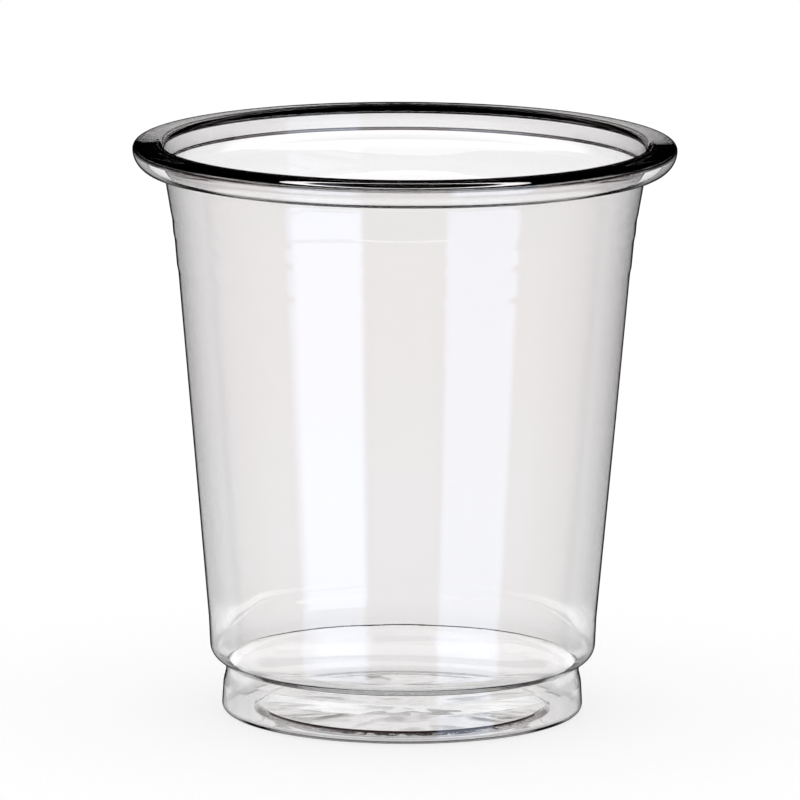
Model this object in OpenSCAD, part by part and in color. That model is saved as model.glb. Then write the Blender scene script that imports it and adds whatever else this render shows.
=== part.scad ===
// Clear disposable cup, formed from one plastic sheet.
// It is turned about Z and stands on the plane z = 0. Lengths are in millimetres.

/* [Lip] */
// Diameter over the rolled lip
rim_d = 78; // [76:0.5:84]
// Width of the lip, from its widest point to the inner face of the wall
lip_w = 4.5; // [4:0.1:5]
// Height of the crown above the widest point of the lip
crown_h = 1.15; // [1.1:0.05:1.6]
// Drop from the widest point of the lip to its free edge
skirt_drop = 2.8; // [2:0.1:3.4]
// How far the free edge is tucked in from the widest point
skirt_tuck = 1.85; // [1.2:0.05:2.2]
// Radius of the two rounded edges of the crown, seen in section
crown_r = 1; // [0.9:0.05:1.05]
// Rise of the middle of the crown's underside
crown_arch = 0.15; // [0.1:0.05:0.3]
// Sheet thickness at the root of the lip, where the wall joins the crown
root_t = 1.1; // [0.9:0.05:1.2]
// How far the root of the lip starts below the widest point
root_drop = 0.25; // [0.1:0.05:0.4]
// Sheet thickness at the widest point
widest_t = 0.9; // [0.7:0.05:1]
// Sheet thickness from just below the widest point to the free edge
skirt_t = 0.5; // [0.4:0.05:0.6]
// Drop from the widest point to the neck, where the wall starts to flare into the lip
neck_drop = 3.9; // [3.5:0.1:4.5]
// How far the outer face of the neck is in from the widest point of the lip
neck_in = 4.6; // [4.3:0.1:4.7]
// Sheet thickness of the neck
neck_t = 0.5; // [0.4:0.05:0.6]

/* [Body] */
// Height of the cup
cup_h = 82.85; // [75:0.05:100]
// Outer diameter where the long taper starts, above the shoulder
taper_low_d = 55.9; // [55.5:0.1:58]
// How far the long taper ends inside the widest point of the lip, at the lowest stacking ring
taper_top_in = 6.6; // [6:0.1:7]
// Height at which the long taper starts
taper_z = 13.6; // [12:0.1:20]
// Sheet thickness of the wall
wall_t = 0.3; // [0.2:0.05:0.4]

/* [Stacking rings] */
// Depth of the lowest ring below the top of the lip
ring_low = 18.8; // [17:0.1:22]
// Depth of the middle ring below the top of the lip
ring_mid = 14.1; // [13:0.1:16]
// Depth of the highest ring below the top of the lip
ring_high = 11.1; // [10:0.1:12]
// How far the wall steps out at each ring
ring_step = 0.12; // [0.05:0.01:0.2]
// Height over which each step is made
ring_rise = 0.9; // [0.5:0.1:0.9]

/* [Shoulder] */
// Outer diameter of the shoulder, where the wall turns in
shoulder_d = 55.4; // [54:0.1:55.4]
// Height of the shoulder
shoulder_z = 8.5; // [8.4:0.1:10]
// Outer radius of the rounded shoulder
shoulder_r = 3; // [1:0.1:5]

/* [Foot] */
// Outer diameter of the foot at the table
foot_d = 52; // [51.5:0.1:53]
// Radius of the outer bottom corner
foot_r = 0.6; // [0.5:0.1:2]
// Diameter of the waist between the foot and the shoulder
waist_d = 51; // [50:0.1:51.4]
// Height of the lower edge of the waist
waist_z = 6; // [4:0.1:6.5]
// Height of the band between the waist's two edges
waist_h = 1; // [0.8:0.1:1.5]
// Sheet thickness from the standing ring up to the waist
foot_t = 0.35; // [0.3:0.05:0.4]

/* [Base] */
// Diameter of the raised panel in the base
panel_d = 40.8; // [30:0.1:42]
// Height of the panel's underside above the table
panel_h = 0.35; // [0.3:0.05:1]
// Width of the slope from the panel down to the ring that stands on the table
panel_slope = 1; // [0.8:0.1:1.5]
// Sheet thickness of the panel
base_t = 0.6; // [0.4:0.05:0.7]

/* [Hidden] */

// Largest turn between two neighbouring straight stretches of a rounded outline, in degrees
turn_step = 10;
// Radius that rounds the edges of the base panel
panel_r = 0.9;
// Radius that rounds the two edges of the waist
waist_r = 0.2;
// Radius that softens the foot of the taper and the stacking rings
soft_r = 2;
// Radius that softens the neck
neck_r = 3;
// Share of the skirt over which the sheet thins from its thickness at the widest point
thinning_share = 0.06;
// Largest share of a straight stretch that the rounding of one of its ends takes
leg_share = 0.45;

widest_r = rim_d / 2;
widest_z = cup_h - crown_h;
// The underside of the crown runs from the root of the lip to the inside of the skirt
inner_r = widest_r - lip_w;
root_r = inner_r + root_t;
root_z = widest_z - root_drop;
skirt_inner_r = widest_r - widest_t;
// The skirt is one arc, upright at the widest point and ending at the free edge
skirt_arc_r = (pow(skirt_tuck, 2) + pow(skirt_drop, 2)) / (2 * skirt_tuck);
skirt_turn = atan2(skirt_drop, skirt_arc_r - skirt_tuck);

ring_heights = [cup_h - ring_low, cup_h - ring_mid, cup_h - ring_high];
taper = (widest_r - taper_top_in - taper_low_d / 2) / (ring_heights[0] - taper_z);

// Radius of the tapered wall at a height, before the stacking rings widen it
function taper_r(z) = taper_low_d / 2 + taper * (z - taper_z);

function unit(v) = v / norm(v);
function steps(turn) = max(1, ceil(abs(turn) / turn_step));

// Points of the arc that rounds corner p between corners a and b.
// A corner is [radius from the axis, height, rounding radius, sheet thickness].
function corner_arc(a, p, b) =
    let (
        corner = [p.x, p.y],
        leg_a = [a.x, a.y] - corner,
        leg_b = [b.x, b.y] - corner,
        half = acos(unit(leg_a) * unit(leg_b)) / 2,
        reach = min(p[2] / tan(half), leg_share * min(norm(leg_a), norm(leg_b))),
        radius = reach * tan(half),
        centre = corner + unit(unit(leg_a) + unit(leg_b)) * radius / sin(half),
        start = corner + unit(leg_a) * reach - centre,
        turn = -sign(cross(leg_a, leg_b)) * (180 - 2 * half),
        start_angle = atan2(start.y, start.x)
    )
    [
        for (i = [0:steps(turn)])
            let (angle = start_angle + turn * i / steps(turn))
            [centre.x + radius * cos(angle), centre.y + radius * sin(angle), p[3]]
    ];

// An outline through a list of corners, each rounded except the first and the last
function rounded(corners) =
    let (last = len(corners) - 1)
    [
        for (i = [0:last])
            each i == 0 || i == last
                ? [[corners[i].x, corners[i].y, corners[i][3]]]
                : corner_arc(corners[i - 1], corners[i], corners[i + 1])
    ];

// Point of an ellipse of half axes a and b at which its outward direction is the angle given
function ellipse_point(a, b, angle) =
    [pow(a, 2) * cos(angle), pow(b, 2) * sin(angle)]
        / sqrt(pow(a * cos(angle), 2) + pow(b * sin(angle), 2));

// Outer face of the cup, from the middle of the base up to the root of the lip
function body_face() = rounded(concat(
    [
        [0, panel_h, 0, base_t],
        [panel_d / 2, panel_h, panel_r, base_t],
        [panel_d / 2 + panel_slope, 0, panel_r, foot_t],
        [foot_d / 2, 0, foot_r, foot_t],
        [waist_d / 2, waist_z, waist_r, foot_t],
        [waist_d / 2, waist_z + waist_h, waist_r, foot_t],
        [shoulder_d / 2, shoulder_z, shoulder_r, wall_t],
        [taper_low_d / 2, taper_z, soft_r, wall_t]
    ],
    [
        for (i = [0:len(ring_heights) - 1], top = [0, 1])
            let (z = ring_heights[i] + top * ring_rise)
            [taper_r(z) + (i + top) * ring_step, z, soft_r, wall_t]
    ],
    [
        [widest_r - neck_in, widest_z - neck_drop, neck_r, neck_t],
        [root_r, root_z, 0, root_t]
    ]
));

// Direction square to the line from a to b, on its left
function left_of(a, b) = unit([a.y - b.y, b.x - a.x]);

// The sheet is a list of pairs of points, the first on its outer or lower face and the second
// opposite it on the other face. The body's pairs stop short of the root of the lip.
function body_pairs() =
    let (face = body_face())
    [
        for (i = [0:len(face) - 2])
            let (
                p = face[i],
                before = left_of(face[max(i, 1) - 1], face[max(i, 1)]),
                after = left_of(p, face[i + 1])
            )
            [[p.x, p.y], [p.x, p.y] + unit(before + after) * p[2]]
    ];

// Crown of the lip. Its underside is half an ellipse on a slope from the root to the widest point,
// and its upper face is half an ellipse grown by the radius of the rounded edges.
function crown_pairs() =
    let (
        under_a = (skirt_inner_r - root_r) / 2,
        over_a = lip_w / 2 - crown_r,
        over_b = crown_h - crown_r
    )
    [
        for (i = [0:steps(180)])
            let (
                angle = 180 - 180 * i / steps(180),
                under = ellipse_point(under_a, crown_arch, angle),
                over = ellipse_point(over_a, over_b, angle) + crown_r * [cos(angle), sin(angle)],
                slope_z = root_drop * (under.x + under_a) / (2 * under_a)
            )
            [
                [root_r + under_a, root_z + slope_z] + under,
                [inner_r + lip_w / 2, widest_z] + over
            ]
    ];

// Sheet thickness of the skirt, at a share of its length from the widest point
function skirt_thickness(share) =
    widest_t + (skirt_t - widest_t) * min(share / thinning_share, 1);

// Skirt of the lip, one arc from the widest point down and in to the free edge
function skirt_pairs() =
    let (
        centre = [widest_r - skirt_arc_r, widest_z],
        count = steps(skirt_turn)
    )
    [
        for (i = [0:count])
            let (
                share = thinning_share + (1 - thinning_share) * i / count,
                outward = [cos(skirt_turn * share), -sin(skirt_turn * share)]
            )
            [
                centre + (skirt_arc_r - skirt_thickness(share)) * outward,
                centre + skirt_arc_r * outward
            ]
    ];

// Closed section through a list of pairs
module sheet_section(pairs) {
    polygon(concat(
        [for (p = pairs) p[0]],
        [for (i = [len(pairs) - 1:-1:0]) pairs[i][1]]
    ));
}

module cup() {
    color([0.9, 0.92, 0.93, 0.4])
        rotate_extrude($fn = 120)
            sheet_section(concat(body_pairs(), crown_pairs(), skirt_pairs()));
}

cup();
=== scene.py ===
"""Visual model of the clear disposable cup: shell, material, studio and camera.

The section and the unevenness of the sheet are in millimetres, and all else is in metres.
"""

import math

import bpy
from mathutils import Matrix, Vector, noise


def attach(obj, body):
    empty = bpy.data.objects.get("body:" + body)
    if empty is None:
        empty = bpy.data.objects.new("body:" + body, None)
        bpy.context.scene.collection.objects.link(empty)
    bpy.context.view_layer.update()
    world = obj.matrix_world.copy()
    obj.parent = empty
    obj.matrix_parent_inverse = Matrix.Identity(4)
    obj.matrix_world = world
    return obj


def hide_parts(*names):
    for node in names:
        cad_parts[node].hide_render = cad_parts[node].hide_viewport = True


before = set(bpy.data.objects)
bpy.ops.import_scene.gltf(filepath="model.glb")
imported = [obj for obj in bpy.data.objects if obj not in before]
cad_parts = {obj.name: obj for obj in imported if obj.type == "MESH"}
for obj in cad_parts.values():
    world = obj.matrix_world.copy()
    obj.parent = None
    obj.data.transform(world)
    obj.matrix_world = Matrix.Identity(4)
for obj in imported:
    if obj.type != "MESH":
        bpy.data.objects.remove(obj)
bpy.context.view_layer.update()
scene = bpy.context.scene
MM = 0.001

# ---------------------------------------------------------------- section, as in the part's source
# _D is a diameter, _R a rounding radius, _Z a height above the table, _H a rise, _T a thickness of the sheet.
# Only the foot, waist and panel are drawn more finely here: they differ from the source by at most 0.2 mm.
RIM_D, LIP_W, CROWN_H, SKIRT_DROP, SKIRT_TUCK = 78.0, 4.5, 1.15, 2.8, 1.85
CROWN_R, CROWN_ARCH, ROOT_T, ROOT_DROP, WIDEST_T, SKIRT_T = 1.0, 0.15, 1.1, 0.25, 0.9, 0.5
NECK_DROP, NECK_IN, NECK_T = 3.9, 4.6, 0.5
CUP_H, TAPER_LOW_D, TAPER_TOP_IN, TAPER_Z, WALL_T = 82.85, 55.9, 6.6, 13.6, 0.3
RING_DEPTHS, RING_STEP, RING_RISE = (18.8, 14.1, 11.1), 0.12, 0.9
SHOULDER_D, SHOULDER_Z, SHOULDER_R = 55.4, 8.5, 3.0
FOOT_D, FOOT_R, FOOT_TOP_D, FOOT_TOP_Z, FOOT_TOP_R = 52.0, 1.0, 51.6, 4.2, 1.0
WAIST_D, WAIST_Z, WAIST_H, WAIST_R, WAIST_T, FOOT_T = 50.9, 5.7, 1.3, 0.2, 0.42, 0.35
PANEL_D, PANEL_H, PANEL_SLOPE, BASE_T = 40.8, 0.35, 1.0, 0.52
PANEL_R, SOFT_R, NECK_R = 0.9, 2.0, 3.0
THINNING_SHARE, LEG_SHARE = 0.06, 0.45

# Fineness of the mesh
SEGMENTS = 264  # points round the cup
CROWN_STEPS, SKIRT_STEPS = 36, 15
TURN_STEP = 6.0  # largest turn between two stretches of a rounded corner, in degrees
STRETCH = 1.6  # longest stretch of the section between two rings of points

# ---------------------------------------------------------------- unevenness of a formed sheet
# A wave is its amplitude, its cells round the cup, the height of a cell and a seed.
WALL_WAVES = [(0.035, 6, 26.0, 3.1), (0.012, 22, 60.0, 9.7)]
WRINKLES, WRINKLE_SLANT = (0.02, 30, 5.0, 17.3), 0.35
EDGE_RISE, EDGE_SWAY = (0.09, 10, 10.0, 5.3), (0.05, 8, 10.0, 8.9)
FOOT_WAVES = [(0.06, 9, 6.0, 2.2), (0.02, 30, 4.0, 12.7)]
# The heights over which each kind comes in, and over which it goes out. The foot's comes in with the radius.
WALL_IN, WALL_OUT = (9.0, 16.0), (70.0, 78.0)
WRINKLES_IN, WRINKLES_OUT = (7.0, 9.0), (18.0, 30.0)
FOOT_IN, FOOT_OUT = (22.0, 25.0), (5.0, 6.0)
# The panel's mottles are height, size of a cell and seed, and fade out between two radii.
MOTTLES, MOTTLES_OUT = [(0.045, 6.0, 4.0), (0.02, 2.3, 7.0)], (17.5, 20.0)
# Small round mark in the panel
MARK_X, MARK_Y, MARK_RADIUS, MARK_WIDTH, MARK_HEIGHT = -3.5, 15.5, 1.3, 0.4, 0.05
AXIS = 1e-6  # a point nearer to the axis than this stands on it


def unit(x, y):
    length = math.hypot(x, y)
    return x / length, y / length


def corner_arc(a, p, b):
    """Points of the arc that rounds corner p between corners a and b, each [r, z, rounding, thickness]."""
    leg_a = (a[0] - p[0], a[1] - p[1])
    leg_b = (b[0] - p[0], b[1] - p[1])
    ua, ub = unit(*leg_a), unit(*leg_b)
    half = math.acos(ua[0] * ub[0] + ua[1] * ub[1]) / 2
    reach = min(p[2] / math.tan(half), LEG_SHARE * min(math.hypot(*leg_a), math.hypot(*leg_b)))
    radius = reach * math.tan(half)
    mid = unit(ua[0] + ub[0], ua[1] + ub[1])
    centre = (p[0] + mid[0] * radius / math.sin(half), p[1] + mid[1] * radius / math.sin(half))
    start = (p[0] + ua[0] * reach - centre[0], p[1] + ua[1] * reach - centre[1])
    turn = -math.copysign(math.pi - 2 * half, leg_a[0] * leg_b[1] - leg_a[1] * leg_b[0])
    count = max(1, math.ceil(abs(math.degrees(turn)) / TURN_STEP))
    first = math.atan2(start[1], start[0])
    return [(centre[0] + radius * math.cos(first + turn * i / count),
             centre[1] + radius * math.sin(first + turn * i / count), p[3]) for i in range(count + 1)]


def body_corners():
    """Corners of the outer face, from the middle of the base to the root of the lip."""
    rings = [CUP_H - depth for depth in RING_DEPTHS]
    taper = (RIM_D / 2 - TAPER_TOP_IN - TAPER_LOW_D / 2) / (rings[0] - TAPER_Z)
    widest_z = CUP_H - CROWN_H
    corners = [(0, PANEL_H, 0, BASE_T),
               (PANEL_D / 2, PANEL_H, PANEL_R, BASE_T),
               (PANEL_D / 2 + PANEL_SLOPE, 0, PANEL_R, FOOT_T),
               (FOOT_D / 2, 0, FOOT_R, FOOT_T),
               (FOOT_TOP_D / 2, FOOT_TOP_Z, FOOT_TOP_R, FOOT_T),
               (WAIST_D / 2, WAIST_Z, WAIST_R, WAIST_T),
               (WAIST_D / 2, WAIST_Z + WAIST_H, WAIST_R, WAIST_T),
               (SHOULDER_D / 2, SHOULDER_Z, SHOULDER_R, WALL_T),
               (TAPER_LOW_D / 2, TAPER_Z, SOFT_R, WALL_T)]
    for i, ring in enumerate(rings):
        for top in (0, 1):
            z = ring + top * RING_RISE
            r = TAPER_LOW_D / 2 + taper * (z - TAPER_Z) + (i + top) * RING_STEP
            corners.append((r, z, SOFT_R, WALL_T))
    return corners + [(RIM_D / 2 - NECK_IN, widest_z - NECK_DROP, NECK_R, NECK_T),
                      (RIM_D / 2 - LIP_W + ROOT_T, widest_z - ROOT_DROP, 0, ROOT_T)]


def body_pairs():
    """Pairs of points on the two faces of the sheet, from the middle of the base to the root of the lip."""
    corners = body_corners()
    outline = [(corners[0][0], corners[0][1], corners[0][3])]
    for i in range(1, len(corners) - 1):
        outline += corner_arc(corners[i - 1], corners[i], corners[i + 1])
    outline.append((corners[-1][0], corners[-1][1], corners[-1][3]))
    face = [outline[0]]
    for p, q in zip(outline[:-1], outline[1:]):
        count = max(1, math.ceil(math.hypot(q[0] - p[0], q[1] - p[1]) / STRETCH))
        face += [tuple(p[k] + (q[k] - p[k]) * i / count for k in range(3)) for i in range(1, count + 1)]
    pairs = []
    for i, p in enumerate(face[:-1]):
        a, b = face[max(i, 1) - 1], face[max(i, 1)]
        before = unit(a[1] - b[1], b[0] - a[0])
        after = unit(p[1] - face[i + 1][1], face[i + 1][0] - p[0])
        n = unit(before[0] + after[0], before[1] + after[1])
        pairs.append(((p[0], p[1]), (p[0] + n[0] * p[2], p[1] + n[1] * p[2])))
    return pairs


def ellipse_point(a, b, t):
    """Point of an ellipse at which its outward direction is t."""
    d = math.hypot(a * math.cos(t), b * math.sin(t))
    return a * a * math.cos(t) / d, b * b * math.sin(t) / d


def lip_pairs():
    """The crown, with half an ellipse as its underside, and the skirt, one arc down to the free edge."""
    widest_r, widest_z = RIM_D / 2, CUP_H - CROWN_H
    root_r = widest_r - LIP_W + ROOT_T
    under_a = (widest_r - WIDEST_T - root_r) / 2
    pairs = []
    for i in range(CROWN_STEPS + 1):
        t = math.pi * (1 - i / CROWN_STEPS)
        ux, uz = ellipse_point(under_a, CROWN_ARCH, t)
        ox, oz = ellipse_point(LIP_W / 2 - CROWN_R, CROWN_H - CROWN_R, t)
        slope_z = ROOT_DROP * (ux + under_a) / (2 * under_a)
        under = (root_r + under_a + ux, widest_z - ROOT_DROP + slope_z + uz)
        over = (widest_r - LIP_W / 2 + ox + CROWN_R * math.cos(t), widest_z + oz + CROWN_R * math.sin(t))
        pairs.append((under, over))
    arc_r = (SKIRT_TUCK ** 2 + SKIRT_DROP ** 2) / (2 * SKIRT_TUCK)
    inner = arc_r - SKIRT_T
    turn = math.atan2(SKIRT_DROP, arc_r - SKIRT_TUCK)
    for i in range(SKIRT_STEPS + 1):
        share = THINNING_SHARE + (1 - THINNING_SHARE) * i / SKIRT_STEPS
        x, z = math.cos(turn * share), -math.sin(turn * share)
        pairs.append(((widest_r - arc_r + inner * x, widest_z + inner * z),
                      (widest_r - arc_r + arc_r * x, widest_z + arc_r * z)))
    return pairs


# ---------------------------------------------------------------- shell
def smooth(value, low, high):
    """0 below low, 1 above high and a soft step between them."""
    u = max(0.0, min(1.0, (value - low) / (high - low)))
    return u * u * (3 - 2 * u)


def wave(angle, z, amplitude, around, along, seed):
    """Smooth noise on the wall: cells `around` times round the cup and `along` mm high."""
    k = around / math.tau
    return amplitude * noise.noise(Vector((math.cos(angle) * k, math.sin(angle) * k, z / along + seed)))


def moved(r, z, angle, edge):
    """Where a formed sheet stands at a point: both faces move together, so the sheet keeps its thickness.

    The edge is 0 at the top of the skirt and above it, and 1 at the free edge.
    """
    wall = smooth(z, *WALL_IN) * (1 - smooth(z, *WALL_OUT))
    r += wall * sum(wave(angle, z, *values) for values in WALL_WAVES)
    low = smooth(z, *WRINKLES_IN) * (1 - smooth(z, *WRINKLES_OUT))
    r += low * wave(angle, z + r * angle * WRINKLE_SLANT, *WRINKLES)
    if edge > 0:
        z += edge * wave(angle, 0.0, *EDGE_RISE)
        r += edge * wave(angle, 0.0, *EDGE_SWAY)
    foot = smooth(r, *FOOT_IN) * (1 - smooth(z, *FOOT_OUT))
    r += foot * sum(wave(angle, z, *values) for values in FOOT_WAVES)
    return r, z


def base_relief(x, y, side):
    """Relief of the base panel on its lower side (0) or upper side (1): a chilled, mottled sheet and a mark."""
    relief = sum(height * noise.noise(Vector((x / cell, y / cell, seed + side)))
                 for height, cell, seed in MOTTLES)
    if side == 0:
        off = (math.hypot(x - MARK_X, y - MARK_Y) - MARK_RADIUS) / MARK_WIDTH
        relief += MARK_HEIGHT * math.exp(-off ** 2)
    return (1 - smooth(math.hypot(x, y), *MOTTLES_OUT)) * relief


def shell_rings():
    """Points of the shell, and rings of their numbers, up one face of the sheet and back down the other."""
    pairs = body_pairs() + lip_pairs()
    skirt_first = len(pairs) - SKIRT_STEPS - 1
    verts, rings = [], []
    for i, side in [(i, 0) for i in range(len(pairs))] + [(i, 1) for i in reversed(range(len(pairs)))]:
        r0, z0 = pairs[i][side]
        if r0 < AXIS:
            rings.append([len(verts)] * SEGMENTS)
            verts.append((0, 0, (z0 + base_relief(0, 0, side)) * MM))
            continue
        edge = max(0.0, (i - skirt_first) / SKIRT_STEPS)
        in_panel = r0 < PANEL_D / 2 and z0 < PANEL_H + 2 * BASE_T
        rings.append(list(range(len(verts), len(verts) + SEGMENTS)))
        for k in range(SEGMENTS):
            angle = math.tau * k / SEGMENTS
            r, z = moved(r0, z0, angle, edge)
            x, y = r * math.cos(angle), r * math.sin(angle)
            if in_panel:
                z += base_relief(x, y, side)
            verts.append((x * MM, y * MM, z * MM))
    return verts, rings


def build_shell():
    """One closed, smooth mesh. At the axis its faces are triangles."""
    verts, rings = shell_rings()
    faces = []
    for ring, after in zip(rings, rings[1:] + rings[:1]):
        for k in range(SEGMENTS):
            m = (k + 1) % SEGMENTS
            corners = list(dict.fromkeys((ring[k], ring[m], after[m], after[k])))
            if len(corners) > 2:
                faces.append(corners)
    mesh = bpy.data.meshes.new("cup_shell")
    mesh.from_pydata(verts, [], faces)
    mesh.validate()
    mesh.polygons.foreach_set("use_smooth", [True] * len(mesh.polygons))
    mesh.update()
    shell = bpy.data.objects.new("cup_shell", mesh)
    scene.collection.objects.link(shell)
    return shell


shell = build_shell()


# ---------------------------------------------------------------- nodes
class Tree:
    """Short hand for wiring nodes."""

    def __init__(self, tree):
        self.nodes, self.links = tree.nodes, tree.links
        self.nodes.clear()

    def add(self, kind, **values):
        node = self.nodes.new(kind)
        for key, value in values.items():
            setattr(node, key, value)
        return node

    def feed(self, socket, value):
        """Sets a socket to a value, or links it to another node's output."""
        if isinstance(value, (int, float, tuple)):
            socket.default_value = value
        else:
            self.links.new(value, socket)

    def calc(self, operation, a, b=0.0):
        node = self.add("ShaderNodeMath", operation=operation)
        self.feed(node.inputs[0], a)
        self.feed(node.inputs[1], b)
        return node.outputs[0]

    def both(self, a, b):
        return self.calc("MULTIPLY", a, b)

    def above(self, count, limit):
        """1 where a whole number is above a whole limit, and 0 elsewhere."""
        return self.calc("GREATER_THAN", count, limit + 0.5)

    def ramp(self, value, low, high, start=0.0, end=1.0):
        node = self.add("ShaderNodeMapRange", interpolation_type="SMOOTHSTEP")
        names = ("Value", "From Min", "From Max", "To Min", "To Max")
        for name, item in zip(names, (value, low, high, start, end)):
            self.feed(node.inputs[name], item)
        return node.outputs["Result"]

    def window(self, value, low, high, soft):
        """1 between low and high, and 0 outside, with steps as wide as twice the softness."""
        rise = self.ramp(value, low - soft, low + soft)
        fall = self.ramp(value, high - soft, high + soft, 1.0, 0.0)
        return self.both(rise, fall)

    def choose(self, factor, a, b):
        """Colour a where the factor is 0, and colour b where it is 1."""
        node = self.add("ShaderNodeMix", data_type="RGBA")
        self.feed(node.inputs["Factor"], factor)
        self.feed(node.inputs[6], a)
        self.feed(node.inputs[7], b)
        return node.outputs[2]

    def lit(self, level, colour):
        """A colour times a level."""
        node = self.add("ShaderNodeVectorMath", operation="SCALE")
        self.feed(node.inputs[0], colour)
        self.feed(node.inputs["Scale"], level)
        return node.outputs[0]

    def total(self, parts):
        result = parts[0]
        for part in parts[1:]:
            node = self.add("ShaderNodeVectorMath", operation="ADD")
            self.links.new(result, node.inputs[0])
            self.links.new(part, node.inputs[1])
            result = node.outputs[0]
        return result


# ---------------------------------------------------------------- clear plastic
IOR = 1.57
# The density times what the colour lacks of white is absorbed in a metre of plastic.
ABSORB_COLOUR, ABSORB_DENSITY = (0.52, 0.45, 0.45, 1.0), 100.0
# A trace of tint in the upper wall: the two heights, the softness of its ends and its colour
TINT_Z, TINT_SOFT, TINT = (0.04, 0.077), 0.012, (1.0, 0.991, 0.991, 1.0)
PLAIN_WHITE = (1.0, 1.0, 1.0, 1.0)
# Noise: scale, stretch and detail
DRAW_LINES = (420.0, (1.0, 1.0, 0.03), 2.0)
SCUFFS = (900.0, (1.0, 1.0, 1.0), 3.0)
LINES_SHARE, SCUFFS_SHARE = 0.8, 0.2
BUMP_STRENGTH, BUMP_DISTANCE = 0.02, 0.0003
# The part of the scuffs' noise that is rough, and how rough it gets
SCUFFS_FROM, SCUFFS_TO, SCUFFS_ROUGH = 0.5, 0.8, 0.03


def clear_plastic():
    """Clear plastic with faint forming marks."""
    material = bpy.data.materials.new("clear_plastic")
    material.use_nodes = True
    t = Tree(material.node_tree)
    place = t.add("ShaderNodeTexCoord").outputs["Object"]
    shader = t.add("ShaderNodeBsdfPrincipled")
    shader.inputs["Transmission Weight"].default_value = 1.0
    shader.inputs["IOR"].default_value = IOR

    def noise_at(scale, stretch, detail):
        mapping = t.add("ShaderNodeMapping")
        mapping.inputs["Scale"].default_value = stretch
        t.links.new(place, mapping.inputs["Vector"])
        node = t.add("ShaderNodeTexNoise")
        node.inputs["Scale"].default_value = scale
        node.inputs["Detail"].default_value = detail
        t.links.new(mapping.outputs[0], node.inputs["Vector"])
        return node.outputs["Fac"]

    height = t.add("ShaderNodeSeparateXYZ")
    t.links.new(place, height.inputs[0])
    upper_wall = t.window(height.outputs["Z"], *TINT_Z, TINT_SOFT)
    t.links.new(t.choose(upper_wall, PLAIN_WHITE, TINT), shader.inputs["Base Color"])

    draw_lines, scuffs = noise_at(*DRAW_LINES), noise_at(*SCUFFS)
    marks = t.calc("ADD", t.both(draw_lines, LINES_SHARE), t.both(scuffs, SCUFFS_SHARE))
    bump = t.add("ShaderNodeBump")
    bump.inputs["Strength"].default_value = BUMP_STRENGTH
    bump.inputs["Distance"].default_value = BUMP_DISTANCE
    t.links.new(marks, bump.inputs["Height"])
    t.links.new(bump.outputs["Normal"], shader.inputs["Normal"])
    t.links.new(t.ramp(scuffs, SCUFFS_FROM, SCUFFS_TO, 0.0, SCUFFS_ROUGH), shader.inputs["Roughness"])

    absorb = t.add("ShaderNodeVolumeAbsorption")
    absorb.inputs["Color"].default_value = ABSORB_COLOUR
    absorb.inputs["Density"].default_value = ABSORB_DENSITY
    out = t.add("ShaderNodeOutputMaterial")
    t.links.new(shader.outputs["BSDF"], out.inputs["Surface"])
    t.links.new(absorb.outputs["Volume"], out.inputs["Volume"])
    return material


shell.data.materials.append(clear_plastic())
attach(shell, "root")
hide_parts("cup")


# ---------------------------------------------------------------- studio
# Directions are degrees: azimuth 0 is the side of the photo's camera and 90 is +X, and elevation 0 is level.
WHITE, COOL, WARM = (1.0, 1.0, 1.0), (0.62, 0.76, 1.0), (1.0, 0.45, 0.42)
# Softboxes that reflections see: azimuths and softness, elevations and softness, level, colour
SOFTBOXES = [
    (-62, -22, 2.5, -40, -15, 1.5, 1.15, COOL),
    (22, 60, 2.5, -40, 10, 3.0, 1.45, COOL),
    (-165, -118, 4.0, -28, -8, 3.0, 0.43, WHITE),
    (-112, -66, 5.0, -36, -5, 3.0, 0.1, WHITE),
    (118, 165, 4.0, -28, -8, 3.0, 0.33, WHITE),
    (-112, 112, 8.0, -40, 0, 4.0, 0.16, WARM),
]
# The dim room round them, as a ramp over the elevation: from, to, level below, level above
DIM_ROOM = (-4, 6, 0.004, 0.001)
# What light sees that comes through the plastic, as a ramp of the same kind
SEEN_THROUGH = (0, 6, 1.0, 0.004)
# Lights for rays that have passed more than this number of faces: elevations and softness, level
FAR_FACES = 3
BAND_BEHIND, HAZE_BEHIND, TABLE_INSIDE = (6, 15, 1.5, 1.0), (3, 24, 2.0, 0.1), (-30, -10, 2.0, 1.7)
BEHIND_FROM, BEHIND_TO = 140, 155
# Lights for rays that have passed none: a light low in front, and the table right below as a ramp
LIGHT_IN_FRONT, IN_FRONT = (6, 14, 5.0, 3.5), (-100, 100, 10.0)
TABLE_BELOW = (-48, -40, 2.0, 0.0)


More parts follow.
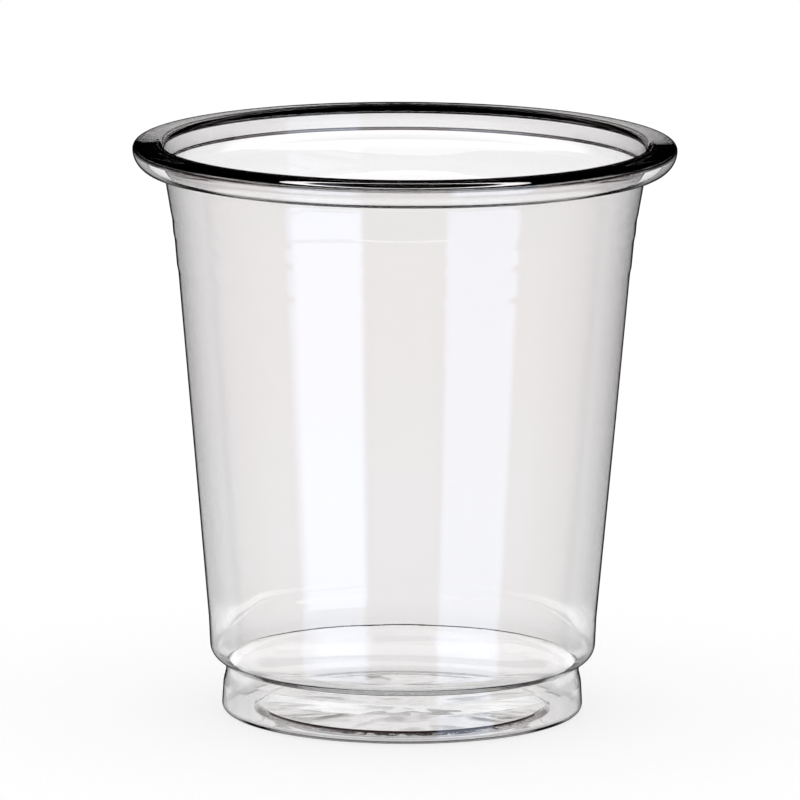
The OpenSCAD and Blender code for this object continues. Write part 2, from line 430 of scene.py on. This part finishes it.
def studio():
    """A white room for the camera and for light that comes through the plastic. Reflections show softboxes,
    set up below and beside the cup, in a dim room, as over a lit table."""
    world = bpy.data.worlds.new("studio")
    scene.world = world
    world.use_nodes = True
    t = Tree(world.node_tree)
    direction = t.add("ShaderNodeVectorMath", operation="NORMALIZE")
    t.links.new(t.add("ShaderNodeTexCoord").outputs["Generated"], direction.inputs[0])
    axes = t.add("ShaderNodeSeparateXYZ")
    t.links.new(direction.outputs[0], axes.inputs[0])
    degrees = 180 / math.pi
    elevation = t.calc("MULTIPLY", t.calc("ARCSINE", axes.outputs["Z"]), degrees)
    to_front = t.calc("MULTIPLY", axes.outputs["Y"], -1.0)
    azimuth = t.calc("MULTIPLY", t.calc("ARCTAN2", axes.outputs["X"], to_front), degrees)
    path = t.add("ShaderNodeLightPath").outputs
    lights = [t.lit(t.ramp(elevation, *DIM_ROOM), WHITE)]

    def shine(where, bottom, top, soft, level, colour=WHITE):
        """Adds a light between two elevations to what reflections show."""
        lights.append(t.lit(t.both(t.both(where, t.window(elevation, bottom, top, soft)), level), colour))

    for low, high, soft, *light in SOFTBOXES:
        shine(t.window(azimuth, low, high, soft), *light)

    # mirrored inside the cup on its far side, so that the light leaves through the wall or the base
    far_side = t.above(path["Transmission Depth"], FAR_FACES)
    behind = t.both(far_side, t.ramp(t.calc("ABSOLUTE", azimuth), BEHIND_FROM, BEHIND_TO))
    shine(behind, *BAND_BEHIND)
    shine(behind, *HAZE_BEHIND)
    shine(far_side, *TABLE_INSIDE)

    # mirrored by an outer face: the table in faces that look down, and the light in front in the neck's flare
    outside = t.calc("SUBTRACT", 1.0, t.above(path["Transmission Depth"], 0))
    lights.append(t.lit(t.both(outside, t.ramp(elevation, *TABLE_BELOW)), WHITE))
    shine(t.both(outside, t.window(azimuth, *IN_FRONT)), *LIGHT_IN_FRONT)

    seen_through = t.lit(t.ramp(elevation, *SEEN_THROUGH), WHITE)
    colour = t.choose(path["Is Transmission Ray"], PLAIN_WHITE, seen_through)
    colour = t.choose(t.above(path["Glossy Depth"], 0), colour, t.total(lights))
    plain = t.calc("MAXIMUM", path["Is Camera Ray"], t.above(path["Diffuse Depth"], 0))
    colour = t.choose(plain, colour, PLAIN_WHITE)
    background = t.add("ShaderNodeBackground")
    t.links.new(colour, background.inputs["Color"])
    out = t.add("ShaderNodeOutputWorld")
    t.links.new(background.outputs[0], out.inputs[0])


FLOOR_SIDES, FLOOR_RADIUS, FLOOR_DROP = 96, 0.6, 0.00005
FLOOR_GLOW, FLOOR_COLOUR = 0.62, (0.4, 0.4, 0.4, 1.0)


def make_floor():
    """Pale floor. Reflections don't see it, because the softboxes stand in for the lit table."""
    mesh = bpy.data.meshes.new("floor")
    angles = [math.tau * i / FLOOR_SIDES for i in range(FLOOR_SIDES)]
    points = [(FLOOR_RADIUS * math.cos(a), FLOOR_RADIUS * math.sin(a), -FLOOR_DROP) for a in angles]
    mesh.from_pydata(points, [], [list(range(FLOOR_SIDES))])
    floor = bpy.data.objects.new("floor", mesh)
    scene.collection.objects.link(floor)
    material = bpy.data.materials.new("floor")
    material.use_nodes = True
    t = Tree(material.node_tree)
    glow = t.add("ShaderNodeEmission")
    glow.inputs["Strength"].default_value = FLOOR_GLOW
    matt = t.add("ShaderNodeBsdfDiffuse")
    matt.inputs["Color"].default_value = FLOOR_COLOUR
    lit = t.add("ShaderNodeAddShader")
    t.links.new(glow.outputs[0], lit.inputs[0])
    t.links.new(matt.outputs[0], lit.inputs[1])
    either = t.add("ShaderNodeMixShader")
    mirrored = t.above(t.add("ShaderNodeLightPath").outputs["Glossy Depth"], 0)
    t.links.new(mirrored, either.inputs[0])
    t.links.new(lit.outputs[0], either.inputs[1])
    t.links.new(t.add("ShaderNodeBsdfTransparent").outputs[0], either.inputs[2])
    out = t.add("ShaderNodeOutputMaterial")
    t.links.new(either.outputs[0], out.inputs["Surface"])
    mesh.materials.append(material)
    floor.visible_glossy = False


studio()
make_floor()


# ---------------------------------------------------------------- camera
# Fitted to six circles of the cup in the photo. Angles are in radians, and _PX is a length in the photo.
FOCAL_PX, OFFSET_PX, FRAME_PX = 10605.905, 3.696, 800
TILT, ROLL = 0.1774219, 0.00486745
DISTANCE, CAMERA_HEIGHT = 1.5, 0.314123
SENSOR_MM, CLIP_END = 36, 50


def make_camera():
    data = bpy.data.cameras.new("camera")
    camera = bpy.data.objects.new("camera", data)
    scene.collection.objects.link(camera)
    data.sensor_width = SENSOR_MM
    data.lens = FOCAL_PX / FRAME_PX * SENSOR_MM
    data.shift_x = -OFFSET_PX / FRAME_PX
    data.clip_end = CLIP_END
    turn = Matrix.Rotation(math.pi / 2 - TILT, 4, "X") @ Matrix.Rotation(ROLL, 4, "Z")
    camera.matrix_world = Matrix.Translation((0, -DISTANCE, CAMERA_HEIGHT)) @ turn
    scene.camera = camera


make_camera()
scene.view_settings.view_transform = "Standard"
